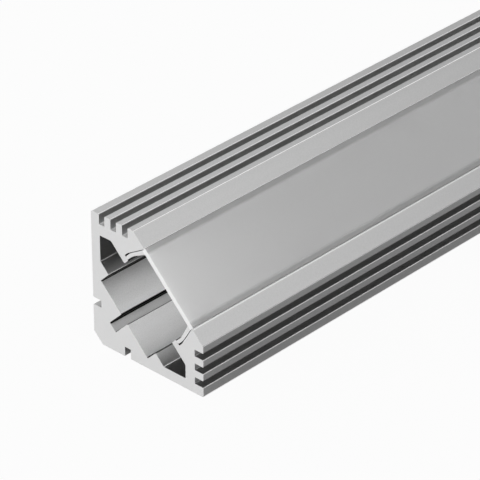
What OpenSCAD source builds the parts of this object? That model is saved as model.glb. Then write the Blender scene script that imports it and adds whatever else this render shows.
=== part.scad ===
// Corner profile for an LED strip: one aluminium extrusion with cooling fins,
// and the frosted cover that snaps into it. It lies on one of its wall faces.
// Millimetres, +Z up. The profile runs along Y, the wall corner is at low X
// and low Z, and the light comes out between +X and +Z. The origin is on the
// floor, under the middle of the profile.

/* [Stock] */
// Length that the profile and its cover are sold in
profile_l = 1000; // [250:50:3000]
// Side of the square that the extrusion fills, from a wall face to a finned face
side = 18.5; // [17:0.1:22]

/* [Walls] */
// Metal between each wall face and what is hollow behind it
wall_t = 1.42; // [1.1:0.01:1.8]
// Bevel on the corner between the wall faces, measured along each face
corner_cut = 1.45; // [0.5:0.05:2.2]
// Radius of the outside edges
edge_r = 0.2; // [0.05:0.05:0.3]
// Radius of the edges of the front lips beside the cover
lip_r = 0.08; // [0.03:0.01:0.2]
// Radius of the inside corners
inner_r = 0.18; // [0.05:0.01:0.3]

/* [Clip grooves] */
// Width of the groove that a mounting clip holds, in each wall face
clip_w = 1; // [0.8:0.05:1.4]
// Depth of that groove
clip_d = 1.38; // [1:0.01:1.6]
// Distance from the wall corner to the near side of that groove
clip_from_corner = 5.3; // [3.5:0.1:6]

/* [Cooling fins] */
// Number of cooling grooves in each finned face
groove_count = 3; // [3:1:4]
// Width of a cooling groove
groove_w = 0.94; // [0.8:0.01:1.1]
// Depth of a cooling groove
groove_d = 1.42; // [1.1:0.01:1.7]
// Fin between two cooling grooves
fin_t = 1.01; // [0.8:0.01:1.2]
// Fin beside the wall face
wall_fin_t = 1.36; // [1.1:0.01:1.7]
// Fin beside the front lip
lip_fin_t = 0.97; // [0.8:0.01:1.3]
// Metal between the floor of the cooling grooves and the hollow under them
web_t = 1.53; // [1.2:0.01:1.9]

/* [Strip seat] */
// Width of the LED strip
strip_w = 10; // [8:0.5:12]
// Clearance on each side of the strip
strip_gap = 0.5; // [0.3:0.05:0.8]
// Height of the side walls of the seat
seat_h = 1.92; // [1.4:0.02:2.4]
// Width of the screw channel under the strip
channel_w = 1.42; // [1.1:0.02:1.8]
// Depth of the screw channel, below the seat
channel_d = 2.88; // [2:0.02:3.4]

/* [Cover seat] */
// Thickness of the arms that the cover's feet stand on
arm_t = 0.92; // [0.7:0.02:1.2]
// Clearance between the cover and the front lips
lip_gap = 0.02; // [0.01:0.01:0.1]
// Clearance between the cover's legs and the walls of their pockets
leg_gap = 0.1; // [0.05:0.01:0.15]
// Clearance outside the cover's feet, where they spring out
foot_gap = 0.22; // [0.12:0.01:0.35]

/* [Cover] */
// Thickness of the cover's plate
plate_t = 0.65; // [0.5:0.05:1.2]
// Height of the cover, from its outer face to its feet
cover_h = 4.08; // [3.6:0.01:4.6]
// Distance by which the cover stands proud of the front lips
cover_proud = 0.2; // [0:0.01:0.3]
// Radius of the edges of the cover's outer face
cover_r = 0.05; // [0.03:0.01:0.2]
// Thickness of a leg where it leaves the plate
leg_root_t = 0.6; // [0.5:0.02:0.8]
// Thickness of a leg at its foot
foot_t = 0.45; // [0.35:0.01:0.6]
// Height of the straight foot of a leg
foot_h = 1.13; // [0.9:0.01:1.4]
// Distance by which a foot stands out from the edge of the plate
leg_splay = 0.58; // [0.4:0.01:0.7]
// Part of the arm's end that shows inside the cover's foot
ledge_inset = 0.13; // [0.05:0.01:0.2]

/* [Hidden] */

// Straight pieces in each rounded corner.
ARC_STEPS = 5;
// Large radii where a leg of the cover bends, and the groove wall beside it.
BEND_R = 1.6;
// Radius of the hollow's corner over the arm.
HOLLOW_R = 0.4;
// Radius at the outer edge of the cover's foot.
TOE_R = 0.2;
// Radius of the smallest edges: the foot's inner edge and the groove floors.
FINE_R = 0.08;

// Half widths, measured along the front face from the middle of the profile.
seat_hw = strip_w / 2 + strip_gap;
foot_hw = seat_hw + ledge_inset + foot_t;
plate_hw = foot_hw - leg_splay;
mouth_hw = plate_hw + lip_gap;
pocket_hw = foot_hw + foot_gap;

// Width of a finned face, from the wall face to the front lip.
fin_face_w = wall_fin_t + groove_count * groove_w + (groove_count - 1) * fin_t + lip_fin_t;

// Levels, measured square to the front face from the corner where the wall
// faces would meet.
front_n = (side + fin_face_w) / sqrt(2);
plate_top_n = front_n + cover_proud;
plate_under_n = plate_top_n - plate_t;
ledge_n = plate_top_n - cover_h;
arm_under_n = ledge_n - arm_t;
seat_n = seat_hw + wall_t * sqrt(2);
shelf_n = seat_n + seat_h;
channel_n = seat_n - channel_d;

// The leg leans out from the plate's underside to its foot. The wall of the
// pocket starts behind the lip, at the leg's clearance, and follows the leg at
// the same slope until it is a foot's clearance out.
knee_n = ledge_n + foot_h;
lean = leg_splay / (plate_under_n - knee_n);
lip_under_n = plate_under_n + (leg_gap - lip_gap) / lean;
pocket_knee_n = lip_under_n - (pocket_hw - mouth_hw) / lean;

// Top of the hollow, under the cooling grooves.
hollow_top = side - groove_d - web_t;

// A point of the section from its place across the front face and its level.
function diag(across, level) = [(level + across) / sqrt(2), (level - across) / sqrt(2)];

// A corner of an outline: its place and its radius.
function at(place, radius) = [place.x, place.y, radius];
function place(corner) = [corner.x, corner.y];

// The same corners on the other side of the diagonal, in the opposite order.
function mirrored(corners) =
    [for (i = [len(corners) - 1:-1:0]) [corners[i].y, corners[i].x, corners[i].z]];

function unit(v) = v / norm(v);

// Points of the arc that rounds the corner b between a and c. The radius is
// limited by the shorter of the two edges.
function corner_arc(a, b, c, radius) =
    let (
        to_a = unit(a - b),
        to_c = unit(c - b),
        half_angle = acos(to_a * to_c) / 2,
        room = 0.45 * min(norm(a - b), norm(c - b)),
        reach = min(radius / tan(half_angle), room),
        r = reach * tan(half_angle),
        centre = b + unit(to_a + to_c) * r / sin(half_angle),
        from = b + to_a * reach - centre,
        to = b + to_c * reach - centre,
        start = atan2(from.y, from.x),
        turn = (atan2(to.y, to.x) - start + 540) % 360 - 180
    )
    [for (i = [0:ARC_STEPS]) let (angle = start + turn * i / ARC_STEPS)
        centre + r * [cos(angle), sin(angle)]];

// A closed outline with every corner rounded by its own radius.
function rounded(corners) =
    let (count = len(corners))
    [for (i = [0:count - 1])
        each corner_arc(
            place(corners[(i + count - 1) % count]),
            place(corners[i]),
            place(corners[(i + 1) % count]),
            corners[i].z)];

// One side of the extrusion's outline, from the bevelled wall corner round
// the finned face and into the hollow, to the floor of the screw channel.
function wall_face() = [
    at([0, corner_cut], edge_r),
    at([0, clip_from_corner], edge_r / 2),
    at([clip_d, clip_from_corner], FINE_R),
    at([clip_d, clip_from_corner + clip_w], FINE_R),
    at([0, clip_from_corner + clip_w], edge_r / 2),
    at([0, side], edge_r)];

function cooling_groove(from_wall) = [
    at([from_wall, side], edge_r / 2),
    at([from_wall, side - groove_d], FINE_R),
    at([from_wall + groove_w, side - groove_d], FINE_R),
    at([from_wall + groove_w, side], edge_r / 2)];

function front_lip() = [
    at([fin_face_w, side], edge_r),
    at(diag(-mouth_hw, front_n), lip_r)];

function cover_pocket() = [
    at(diag(-mouth_hw, lip_under_n), FINE_R),
    at(diag(-pocket_hw, pocket_knee_n), BEND_R),
    at(diag(-pocket_hw, ledge_n), FINE_R),
    at(diag(-seat_hw, ledge_n), FINE_R),
    at(diag(-seat_hw, arm_under_n), FINE_R)];

function side_hollow() = [
    at([arm_under_n * sqrt(2) - hollow_top, hollow_top], HOLLOW_R),
    at([wall_t, hollow_top], inner_r),
    at([wall_t, shelf_n * sqrt(2) - wall_t], inner_r)];

function strip_seat() = [
    at(diag(-seat_hw, shelf_n), FINE_R),
    at(diag(-seat_hw, seat_n), FINE_R),
    at(diag(-channel_w / 2, seat_n), FINE_R),
    at(diag(-channel_w / 2, channel_n), FINE_R)];

function extrusion_side() = concat(
    wall_face(),
    [for (i = [0:groove_count - 1]) each cooling_groove(wall_fin_t + i * (groove_w + fin_t))],
    front_lip(),
    cover_pocket(),
    side_hollow(),
    strip_seat());

// One side of the cover's outline, from its outer face down the leg to the
// foot, and back up the inside of the leg to the underside of the plate.
function cover_side() = [
    at(diag(-plate_hw, plate_top_n), cover_r),
    at(diag(-plate_hw, plate_under_n), BEND_R),
    at(diag(-foot_hw, knee_n), BEND_R),
    at(diag(-foot_hw, ledge_n), TOE_R),
    at(diag(-(foot_hw - foot_t), ledge_n), FINE_R),
    at(diag(-(foot_hw - foot_t), knee_n), BEND_R),
    at(diag(-(plate_hw - leg_root_t), plate_under_n), inner_r)];

// A length of stock: the section stands across Y, and its wall corner lies at
// half a side from the origin.
module stock(section_side) {
    translate([-side / 2, 0, 0])
        rotate([90, 0, 0])
            linear_extrude(height = profile_l, center = true)
                polygon(rounded(concat(section_side, mirrored(section_side))));
}

module profile_extrusion() {
    color("silver") stock(extrusion_side());
}

module diffuser_cover() {
    color("whitesmoke") stock(cover_side());
}

profile_extrusion();
diffuser_cover();
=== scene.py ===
import math
import bpy
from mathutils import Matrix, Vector


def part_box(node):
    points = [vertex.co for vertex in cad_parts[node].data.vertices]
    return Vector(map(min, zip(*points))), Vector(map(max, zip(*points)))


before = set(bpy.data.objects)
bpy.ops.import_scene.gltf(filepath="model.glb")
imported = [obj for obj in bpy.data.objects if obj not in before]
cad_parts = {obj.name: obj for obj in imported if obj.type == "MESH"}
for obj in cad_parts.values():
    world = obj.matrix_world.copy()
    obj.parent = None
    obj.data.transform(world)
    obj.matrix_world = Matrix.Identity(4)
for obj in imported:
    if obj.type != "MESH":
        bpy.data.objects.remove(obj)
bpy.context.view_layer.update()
bpy.ops.object.select_all(action="DESELECT")

# The extrusion. One length of aluminium, pressed through a die and clear
# anodised, which leaves it matt and finely grained, with hair-fine lines along
# it. Its two ends are sawn square, and the teeth leave a close row of arcs there.

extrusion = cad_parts["profile_extrusion"]
half_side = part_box("profile_extrusion")[1].x
aluminium = bpy.data.materials.new("clear_anodised_aluminium")
aluminium.use_nodes = True
metal_tree = aluminium.node_tree
metal_shader = metal_tree.nodes["Principled BSDF"]


def add_node(tree, kind, **settings):
    """A shader node with its options and input values set by name."""
    node = tree.nodes.new(kind)
    for name, value in settings.items():
        if hasattr(node, name):
            setattr(node, name, value)
        else:
            node.inputs[name.replace("_", " ")].default_value = value
    return node


def join(value, socket):
    """Gives an input a number, or joins another node's output to it."""
    if isinstance(value, (int, float)):
        socket.default_value = value
    else:
        socket.id_data.links.new(value, socket)


def measure(operation, *values):
    """The result of a Math node on outputs and numbers, at least one of them an output."""
    tree = next(value.id_data for value in values if not isinstance(value, (int, float)))
    node = add_node(tree, "ShaderNodeMath", operation=operation)
    for value, socket in zip(values, node.inputs):
        join(value, socket)
    return node.outputs["Value"]


def both(first, second):
    return measure("MULTIPLY", first, second)


def either(first, second):
    return measure("MAXIMUM", first, second)


def rest_of(share):
    return measure("SUBTRACT", 1.0, share)


def over(value, least):
    return measure("GREATER_THAN", value, least)


def under(value, most):
    return measure("LESS_THAN", value, most)


def strip_at(place, middle, half_width):
    """1 on a strip of the section round a place, and 0 elsewhere."""
    return measure("COMPARE", place, middle, half_width)


def blend(share, low, high):
    """A number between two others by a share from 0 to 1."""
    node = add_node(share.id_data, "ShaderNodeMix", data_type="FLOAT")
    join(share, node.inputs["Factor"])
    join(low, node.inputs["A"])
    join(high, node.inputs["B"])
    return node.outputs["Result"]


def uneven(noise, share):
    """A shade about 1 that noise from 0 to 1 moves up and down by a share."""
    return blend(noise, 1 - share, 1 + share)


def along(vector, direction):
    """How far a vector reaches in a direction."""
    node = add_node(vector.id_data, "ShaderNodeVectorMath", operation="DOT_PRODUCT")
    join(vector, node.inputs[0])
    node.inputs[1].default_value = direction
    return node.outputs["Value"]


def noise_at(point, grain, detail):
    """Noise from 0 to 1 with grains of a size."""
    noise = add_node(point.id_data, "ShaderNodeTexNoise", Scale=1 / grain, Detail=detail)
    join(point, noise.inputs["Vector"])
    return noise.outputs["Fac"]


def lines_at(point, pitch, reach, detail):
    """Noise from 0 to 1 that is fine across the profile and long drawn out along it."""
    stretch = add_node(point.id_data, "ShaderNodeMapping", Scale=(1 / pitch, 1 / reach, 1 / pitch))
    join(point, stretch.inputs["Vector"])
    return noise_at(stretch.outputs["Vector"], 1.0, detail)


# Directions, and places in the section measured from the corner between the wall faces
ACROSS = (math.sqrt(0.5), 0.0, -math.sqrt(0.5))
OUTWARDS = (math.sqrt(0.5), 0.0, math.sqrt(0.5))
ASIDE = (1.0, 0.0, 0.0)
LENGTHWISE = (0.0, 1.0, 0.0)
UP = (0.0, 0.0, 1.0)

metal_place = add_node(metal_tree, "ShaderNodeTexCoord")
metal_point = metal_place.outputs["Object"]
corner_shift = half_side * math.sqrt(0.5)
across = measure("ADD", along(metal_point, ACROSS), corner_shift)
off_middle = measure("ABSOLUTE", across)
level = measure("ADD", along(metal_point, OUTWARDS), corner_shift)
from_wall = measure("ADD", along(metal_point, ASIDE), half_side)
height = along(metal_point, UP)

# The way a face looks
END_FACING = 0.9
FLAT_FACING = 0.995

metal_facing = metal_place.outputs["Normal"]


def looks(facing, direction, least):
    """1 where a surface looks along a direction or against it, and 0 elsewhere."""
    return over(measure("ABSOLUTE", along(facing, direction)), least)


sawn_end = looks(metal_facing, LENGTHWISE, END_FACING)
drawn_face = rest_of(sawn_end)
looks_up = looks(metal_facing, UP, FLAT_FACING)
looks_aside = looks(metal_facing, ASIDE, FLAT_FACING)
looks_out = looks(metal_facing, OUTWARDS, FLAT_FACING)
looks_across = looks(metal_facing, ACROSS, FLAT_FACING)
square_on = either(looks_up, looks_aside)
flat = either(either(square_on, either(looks_out, looks_across)), sawn_end)

# The space inside: the chamber over the strip, and a hollow on each side of it
CHAMBER_TOP_LEVEL = 0.0142
CHAMBER_HALF_WIDTH = 0.0062
HOLLOW_HALF_WIDTH = 0.0095
WALL_DEPTH = 0.0012

below_front = under(level, CHAMBER_TOP_LEVEL)
behind_walls = over(measure("SUBTRACT", level, off_middle), WALL_DEPTH)
between_fins = under(off_middle, HOLLOW_HALF_WIDTH)
between_walls = under(off_middle, CHAMBER_HALF_WIDTH)
inside = both(both(both(below_front, behind_walls), between_fins), drawn_face)

# Greys outside: the fins' own grey, painted highlights on the rims and along the lower lip, painted shade on
# the rims that turn away and on the clip groove's floor, painted light in the cooling grooves, and the sawn
# ends
ALUMINIUM_GREY = 0.45
# Painted highlight: the rounded rims, and the rounded edges inside that catch light, drawn near white
EDGE_HIGHLIGHT_GREY = 0.95
# Painted shade on the rounded rims that turn away, up to the left or down to the right
BACK_RIM_SHADE_GREY = 0.08
BACK_RIM_TURN = -0.01
GROOVES_BEGIN = 0.001
GROOVE_FLOOR_HEIGHT = 0.01708
# Painted light: the floors of the cooling grooves drawn much lighter than the lands
GROOVE_FLOOR_LIT_GREY = 0.85
# Painted light: the walls of the top grooves drawn a little lighter than the lands
TOP_GROOVE_WALL_LIT_GREY = 0.5
CLIP_FLOOR_HEIGHT = 0.0053
CLIP_LEVEL = 0.006
# Painted shade on the floor of the clip groove
CLIP_FLOOR_SHADE_GREY = 0.35
FLOOR_REACH = 0.0001
# A painted highlight: a bright line along the lower lip's edge, beside the cover
LIP_HIGHLIGHT_PLACE = 0.00568
LIP_HIGHLIGHT_REACH = 0.00005
LIP_HIGHLIGHT_GREY = 0.65
SAWN_GREY = 0.635

off_walls = over(measure("MINIMUM", from_wall, height), GROOVES_BEGIN)
back_turn = measure("MULTIPLY", along(metal_facing, ASIDE), along(metal_facing, UP))
back_rim = both(off_walls, under(back_turn, BACK_RIM_TURN))
groove_floor = both(strip_at(height, GROOVE_FLOOR_HEIGHT, FLOOR_REACH), looks_up)
top_groove_wall = both(both(off_walls, over(height, GROOVE_FLOOR_HEIGHT)), looks_aside)
clip_floor = both(both(strip_at(height, CLIP_FLOOR_HEIGHT, FLOOR_REACH), looks_up), under(level, CLIP_LEVEL))
lip_highlight = both(strip_at(across, LIP_HIGHLIGHT_PLACE, LIP_HIGHLIGHT_REACH), drawn_face)
rim_grey = blend(back_rim, EDGE_HIGHLIGHT_GREY, BACK_RIM_SHADE_GREY)
fin_grey = blend(groove_floor, ALUMINIUM_GREY, GROOVE_FLOOR_LIT_GREY)
fin_grey = blend(top_groove_wall, fin_grey, TOP_GROOVE_WALL_LIT_GREY)
fin_grey = blend(clip_floor, fin_grey, CLIP_FLOOR_SHADE_GREY)
outer_grey = blend(flat, rim_grey, fin_grey)
outer_grey = blend(lip_highlight, outer_grey, LIP_HIGHLIGHT_GREY)
outer_grey = blend(sawn_end, outer_grey, SAWN_GREY)

# Greys inside: painted light on the seat and its channel, painted light and shade in the two hollows, and
# painted highlights and dark lines on the rounded edges
SEAT_HALF_WIDTH = 0.0055
SEAT_WALL_LEVEL = 0.009
# Painted light: the seat drawn near white, far lighter than the metal outside, and its channel's floor a
# little less
CHAMBER_LIT_GREY = 0.935
CHANNEL_FLOOR_LEVEL = 0.0055
CHANNEL_LIT_GREY = 0.78
# Painted light and shade in the hollows: the lower slant fades from the seat's painted light to plain grey
# with depth, the upper one from a lighter grey to a painted shade, and the square walls are drawn as painted
# shade
HOLLOW_BEGINS = 0.0055
HOLLOW_ENDS = 0.0087
HOLLOW_WALL_SHADE_GREY = 0.36
HOLLOW_FAR_GREY = 0.45
UPPER_HOLLOW_LIT_GREY = 0.6
UPPER_HOLLOW_FAR_SHADE_GREY = 0.32
# Painted highlights and shade on the rounded edges inside: a dimmer highlight on the upper hollow's edges,
# and painted shade on the edges within the chamber, darkest below the seat's wall tops
UPPER_EDGE_HIGHLIGHT_GREY = 0.5
LOWER_EDGE_SHADE_GREY = 0.2
INNER_EDGE_SHADE_GREY = 0.08

upper_hollow = under(across, -SEAT_HALF_WIDTH)
lower_side = over(across, 0.0)
in_channel = under(level, CHANNEL_FLOOR_LEVEL)
below_wall_tops = under(level, SEAT_WALL_LEVEL)
into_hollow = add_node(metal_tree, "ShaderNodeMapRange", From_Min=HOLLOW_BEGINS, From_Max=HOLLOW_ENDS)
join(off_middle, into_hollow.inputs["Value"])
hollow_share = into_hollow.outputs["Result"]
seat_grey = blend(in_channel, CHAMBER_LIT_GREY, CHANNEL_LIT_GREY)
slant_grey = blend(hollow_share, seat_grey, HOLLOW_FAR_GREY)
upper_slant_grey = blend(hollow_share, UPPER_HOLLOW_LIT_GREY, UPPER_HOLLOW_FAR_SHADE_GREY)
slant_grey = blend(upper_hollow, slant_grey, upper_slant_grey)
dark_edge = both(between_walls, either(lower_side, below_wall_tops))
edge_highlight_grey = blend(either(lower_side, between_walls), UPPER_EDGE_HIGHLIGHT_GREY, EDGE_HIGHLIGHT_GREY)
edge_shade_grey = blend(below_wall_tops, LOWER_EDGE_SHADE_GREY, INNER_EDGE_SHADE_GREY)
inner_grey = blend(dark_edge, edge_highlight_grey, edge_shade_grey)
inner_grey = blend(square_on, inner_grey, HOLLOW_WALL_SHADE_GREY)
inner_grey = blend(looks_out, inner_grey, slant_grey)
metal_grey = blend(inside, outer_grey, inner_grey)

# Painted shade: near black on what faces across the chamber, in the corners of the seat and of its channel,
# and on the pockets' walls behind the lips
SHADE_GREY = 0.03
SEAT_LEVEL = 0.0076
SEAT_SHADE_REACH = 0.00017
CHANNEL_HALF_WIDTH = 0.00071
CHANNEL_SHADE_REACH = 0.00023
POCKET_HALF_WIDTH = 0.0064
POCKET_TOP_LEVEL = 0.01795

dark_wall = both(both(inside, between_walls), looks_across)
seat_corner = both(strip_at(off_middle, SEAT_HALF_WIDTH, SEAT_SHADE_REACH), under(level, SEAT_LEVEL))
channel_corner = both(strip_at(across, -CHANNEL_HALF_WIDTH, CHANNEL_SHADE_REACH), in_channel)
corner_shade = both(either(seat_corner, channel_corner), looks_out)
behind_lip = measure("SUBTRACT", under(level, POCKET_TOP_LEVEL), below_front)
pocket_wall = both(both(behind_lip, under(off_middle, POCKET_HALF_WIDTH)), drawn_face)
dark_place = either(either(dark_wall, corner_shade), pocket_wall)
metal_grey = blend(dark_place, metal_grey, SHADE_GREY)

# The finish: die lines, faint streaks and a matt grain on the drawn faces, and saw arcs on the ends
DIE_LINE_PITCH = 0.00012
DIE_LINE_REACH = 0.4
DIE_LINE_DETAIL = 2.0
DIE_LINE_HEIGHT = 0.000001
DIE_STREAK_PITCH = 0.0009
DIE_STREAK_DETAIL = 1.0
DIE_STREAK_SHARE = 0.04
SATIN_GRAIN = 0.00015
SATIN_GRAIN_DETAIL = 1.0
SATIN_GRAIN_SHARE = 0.1
SATIN_ROUGHNESS = 0.35
SAW_BLADE_CENTRE = (-0.11, 0.0, 0.13)
SAW_LINE_PITCH = 0.00022
SAW_LINE_WANDER = 1.5
SAW_LINE_DETAIL = 2.0
SAW_LINE_HEIGHT = 0.0000015
SAWN_ROUGHNESS = 0.5
SHADE_ROUGHNESS = 0.9
METAL_IOR = 1.2
# Rings in a metre of a wave texture whose scale is 1
WAVE_RINGS_PER_METRE = 20 / (2 * math.pi)

die_lines = lines_at(metal_point, DIE_LINE_PITCH, DIE_LINE_REACH, DIE_LINE_DETAIL)
die_streaks = lines_at(metal_point, DIE_STREAK_PITCH, DIE_LINE_REACH, DIE_STREAK_DETAIL)
satin_grain = noise_at(metal_point, SATIN_GRAIN, SATIN_GRAIN_DETAIL)
blade_centre = add_node(metal_tree, "ShaderNodeMapping", vector_type="TEXTURE", Location=SAW_BLADE_CENTRE)
saw_lines = add_node(
    metal_tree, "ShaderNodeTexWave", wave_type="RINGS", rings_direction="Y",
    Scale=1 / (SAW_LINE_PITCH * WAVE_RINGS_PER_METRE), Distortion=SAW_LINE_WANDER, Detail=SAW_LINE_DETAIL)
join(metal_point, blade_centre.inputs["Vector"])
join(blade_centre.outputs["Vector"], saw_lines.inputs["Vector"])

streak_shade = uneven(die_streaks, DIE_STREAK_SHARE)
grain_shade = uneven(satin_grain, SATIN_GRAIN_SHARE)
drawn_shade = measure("MULTIPLY", streak_shade, grain_shade)
even_on_ends = blend(sawn_end, drawn_shade, 1.0)
join(measure("MULTIPLY", metal_grey, even_on_ends), metal_shader.inputs["Base Color"])
metal_roughness = measure("MULTIPLY", even_on_ends, blend(sawn_end, SATIN_ROUGHNESS, SAWN_ROUGHNESS))
join(blend(dark_place, metal_roughness, SHADE_ROUGHNESS), metal_shader.inputs["Roughness"])
# Plain, not metallic: the painted shade places, the painted highlights on the rounded edges inside, and the
# sawn ends
bright_edge = both(both(inside, rest_of(flat)), rest_of(dark_edge))
plain_place = either(either(dark_place, bright_edge), sawn_end)
join(rest_of(plain_place), metal_shader.inputs["Metallic"])
line_height = measure("MULTIPLY", die_lines, DIE_LINE_HEIGHT)
arc_height = measure("MULTIPLY", saw_lines.outputs["Fac"], SAW_LINE_HEIGHT)
metal_relief = add_node(metal_tree, "ShaderNodeBump", Strength=1.0, Distance=1.0)
join(blend(sawn_end, line_height, arc_height), metal_relief.inputs["Height"])
join(metal_relief.outputs["Normal"], metal_shader.inputs["Normal"])
metal_shader.inputs["IOR"].default_value = METAL_IOR
extrusion.data.materials.clear()
extrusion.data.materials.append(aluminium)

# The cover. One length of frosted plastic, extruded in its own die, which lets
# the light through and hides what is behind it. It snaps in behind the lips.

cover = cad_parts["diffuser_cover"]
frosted = bpy.data.materials.new("frosted_plastic")
frosted.use_nodes = True
frost_tree = frosted.node_tree
frost_shader = frost_tree.nodes["Principled BSDF"]
frost_place = add_node(frost_tree, "ShaderNodeTexCoord")
frost_point = frost_place.outputs["Object"]

# Whites of the plate and of the cut ends, with painted shade on the bands over the legs, on the legs' sides
# and on the legs' cut ends
FROSTED_WHITE = 0.9
# Painted shade: the outer face drawn darker in bands over the legs
BAND_SHADE_WHITE = 0.36
BAND_BEGINS = 0.0045
BAND_FULL = 0.005
OUTER_FACE_LEVEL = 0.0182
PLATE_UNDER_LEVEL = 0.0177
# Painted shade on the legs' sides
LEG_SIDE_SHADE_WHITE = 0.4
CUT_WHITE = 0.81
# Painted shade: the legs' cut ends drawn darker than the plate's
CUT_LEG_SHADE_WHITE = 0.68

cover_across = measure("ADD", along(frost_point, ACROSS), corner_shift)
cover_level = measure("ADD", along(frost_point, OUTWARDS), corner_shift)
beside_leg = add_node(frost_tree, "ShaderNodeMapRange", From_Min=BAND_BEGINS, From_Max=BAND_FULL)
beside_leg.interpolation_type = "SMOOTHSTEP"
join(measure("ABSOLUTE", cover_across), beside_leg.inputs["Value"])
over_leg = both(over(cover_level, OUTER_FACE_LEVEL), beside_leg.outputs["Result"])
cut_end = looks(frost_place.outputs["Normal"], LENGTHWISE, END_FACING)
under_plate = under(cover_level, PLATE_UNDER_LEVEL)
leg_side = both(under_plate, rest_of(cut_end))
plate_white = blend(over_leg, FROSTED_WHITE, BAND_SHADE_WHITE)
cut_white = blend(under_plate, CUT_WHITE, CUT_LEG_SHADE_WHITE)
cover_white = blend(leg_side, blend(cut_end, plate_white, cut_white), LEG_SIDE_SHADE_WHITE)
join(cover_white, frost_shader.inputs["Base Color"])

# The frost: fine grain, faint clouding and die lines, under a satin skin
FROST_GRAIN = 0.00008
FROST_GRAIN_DETAIL = 1.0
FROST_GRAIN_HEIGHT = 0.000001
COVER_LINE_DETAIL = 1.0
FROST_CLOUD = 0.004
FROST_CLOUD_DETAIL = 2.0
FROST_CLOUD_SHARE = 0.06
FROST_ROUGHNESS = 0.3
SKIN_SHARE = 1.0
SKIN_ROUGHNESS = 0.35
LIGHT_REACH = 0.008
PLASTIC_IOR = 1.25

frost_grain = noise_at(frost_point, FROST_GRAIN, FROST_GRAIN_DETAIL)
frost_cloud = noise_at(frost_point, FROST_CLOUD, FROST_CLOUD_DETAIL)
cover_lines = lines_at(frost_point, DIE_LINE_PITCH, DIE_LINE_REACH, COVER_LINE_DETAIL)
cloudy_roughness = measure("MULTIPLY", uneven(frost_cloud, FROST_CLOUD_SHARE), FROST_ROUGHNESS)
join(cloudy_roughness, frost_shader.inputs["Roughness"])
cover_relief = add_node(frost_tree, "ShaderNodeBump", Strength=1.0, Distance=1.0)
grain_height = measure("MULTIPLY", measure("ADD", frost_grain, cover_lines), FROST_GRAIN_HEIGHT)
join(grain_height, cover_relief.inputs["Height"])
join(cover_relief.outputs["Normal"], frost_shader.inputs["Normal"])
join(rest_of(either(cut_end, leg_side)), frost_shader.inputs["Subsurface Weight"])
frost_shader.inputs["Subsurface Radius"].default_value = (1, 1, 1)
frost_shader.inputs["Subsurface Scale"].default_value = LIGHT_REACH
frost_shader.inputs["Coat Weight"].default_value = SKIN_SHARE
frost_shader.inputs["Coat Roughness"].default_value = SKIN_ROUGHNESS
frost_shader.inputs["IOR"].default_value = PLASTIC_IOR
cover.data.materials.clear()
cover.data.materials.append(frosted)

# The floor. A pale sheet, drawn nearly white for the camera and much dimmer for
# the metal and the plastic that mirror it. The profile's shade still shows on it.

FLOOR_SIDE = 24.0
FLOOR_GREY = 0.46
WHITE_FOR_CAMERA = 0.95
WHITE_FOR_OBJECT = 0.08


def white_by_ray(tree, share_for_camera):
    """How white a backdrop is drawn: for the camera, and less so in the metal and the plastic."""
    ray = add_node(tree, "ShaderNodeLightPath").outputs
    camera_share = measure("MULTIPLY", ray["Is Camera Ray"], share_for_camera)
    in_object = either(ray["Is Glossy Ray"], ray["Is Transmission Ray"])
    return either(camera_share, measure("MULTIPLY", in_object, WHITE_FOR_OBJECT))


def mix_shaders(tree, share, plain, white, output):
    """Draws a share of the white shader over the plain one."""
    mix = add_node(tree, "ShaderNodeMixShader")
    for value, socket in zip((share, plain.outputs[0], white.outputs[0]), mix.inputs):
        join(value, socket)
    join(mix.outputs["Shader"], output.inputs["Surface"])


bpy.ops.mesh.primitive_plane_add(size=FLOOR_SIDE, location=(0, 0, 0))
floor = bpy.context.object
floor.name = "floor"
floor_sheet = bpy.data.materials.new("floor_sheet")
floor_sheet.use_nodes = True
floor_tree = floor_sheet.node_tree
floor_tree.nodes.clear()
floor_output = add_node(floor_tree, "ShaderNodeOutputMaterial")
floor_grey = add_node(floor_tree, "ShaderNodeBsdfDiffuse", Color=(FLOOR_GREY, FLOOR_GREY, FLOOR_GREY, 1))
floor_white = add_node(floor_tree, "ShaderNodeEmission", Strength=1.0)
floor_share = white_by_ray(floor_tree, WHITE_FOR_CAMERA)
mix_shaders(floor_tree, floor_share, floor_grey, floor_white, floor_output)
floor.data.materials.append(floor_sheet)

# The studio. A dim grey room that is drawn white for the camera, with square soft
# boxes on all sides of the profile. The two before it are the largest.

ROOM_GREY = 0.05
LAMP_DISTANCE = 3.0

room = bpy.data.worlds.new("studio_room")
bpy.context.scene.world = room
room.use_nodes = True
room_tree = room.node_tree
room_light = room_tree.nodes["Background"]
room_light.inputs["Color"].default_value = (1, 1, 1, 1)
room_light.inputs["Strength"].default_value = ROOM_GREY
room_white = add_node(room_tree, "ShaderNodeBackground", Color=(1, 1, 1, 1), Strength=1.0)
room_output = room_tree.nodes["World Output"]
room_share = white_by_ray(room_tree, 1.0)
mix_shaders(room_tree, room_share, room_light, room_white, room_output)


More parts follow.
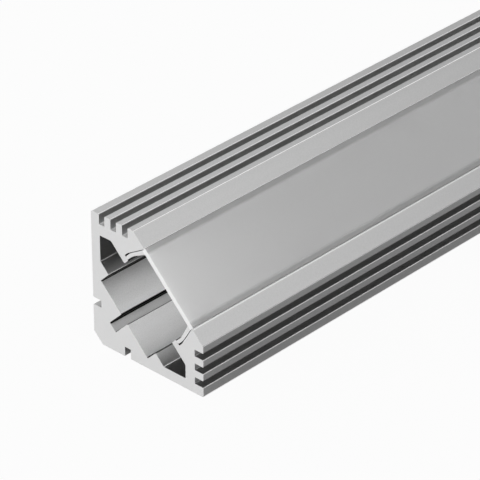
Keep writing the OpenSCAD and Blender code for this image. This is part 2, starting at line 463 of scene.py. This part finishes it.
def direction_of(azimuth, elevation):
    """The way from the profile to a place, in degrees. Azimuth 0 is before the near end."""
    turn, rise = math.radians(azimuth), math.radians(elevation)
    return Vector((math.sin(turn) * math.cos(rise), -math.cos(turn) * math.cos(rise), math.sin(rise)))


def put(name, data, place, away):
    """Places a lamp or a camera so that it looks back along a direction."""
    thing = bpy.data.objects.new(name, data)
    thing.location = place
    thing.rotation_mode = "QUATERNION"
    thing.rotation_quaternion = away.to_track_quat("Z", "Y")
    bpy.context.scene.collection.objects.link(thing)
    return thing


def soft_box(name, azimuth, elevation, power, side):
    """A square lamp that faces the profile and that the camera doesn't see."""
    away = direction_of(azimuth, elevation)
    lamp = bpy.data.lights.new(name, "AREA")
    lamp.size = side
    lamp.energy = power
    put(name, lamp, away * LAMP_DISTANCE, away).visible_camera = False


soft_box("back_left_box", azimuth=-125, elevation=38, power=14, side=2.5)
soft_box("far_left_box", azimuth=-105, elevation=40, power=6.5, side=2.0)
soft_box("back_box", azimuth=184, elevation=52, power=6.5, side=1.5)
soft_box("back_right_box", azimuth=128, elevation=42, power=14, side=2.5)
soft_box("far_right_box", azimuth=112, elevation=50, power=11, side=2.0)
soft_box("left_box", azimuth=-90, elevation=26, power=38, side=1.5)
soft_box("front_box", azimuth=-5, elevation=28, power=62, side=3.0)
soft_box("front_right_box", azimuth=45, elevation=28, power=44, side=3.0)

# The camera. It looks down on the near end from the front right, through a long
# lens, as the photograph does.

CAMERA_PLACE = (0.21475, -0.71326, 0.19961)
CAMERA_AZIMUTH = 43.099
CAMERA_ELEVATION = 30.968
CAMERA_LENS = 224.53
CAMERA_SENSOR = 36.0
NEAREST_SEEN = 0.01
FARTHEST_SEEN = 100.0

camera_data = bpy.data.cameras.new("camera")
camera_data.sensor_width = CAMERA_SENSOR
camera_data.lens = CAMERA_LENS
camera_data.clip_start = NEAREST_SEEN
camera_data.clip_end = FARTHEST_SEEN
camera = put("camera", camera_data, CAMERA_PLACE, direction_of(CAMERA_AZIMUTH, CAMERA_ELEVATION))
bpy.context.scene.camera = camera
bpy.context.scene.view_settings.view_transform = "Standard"
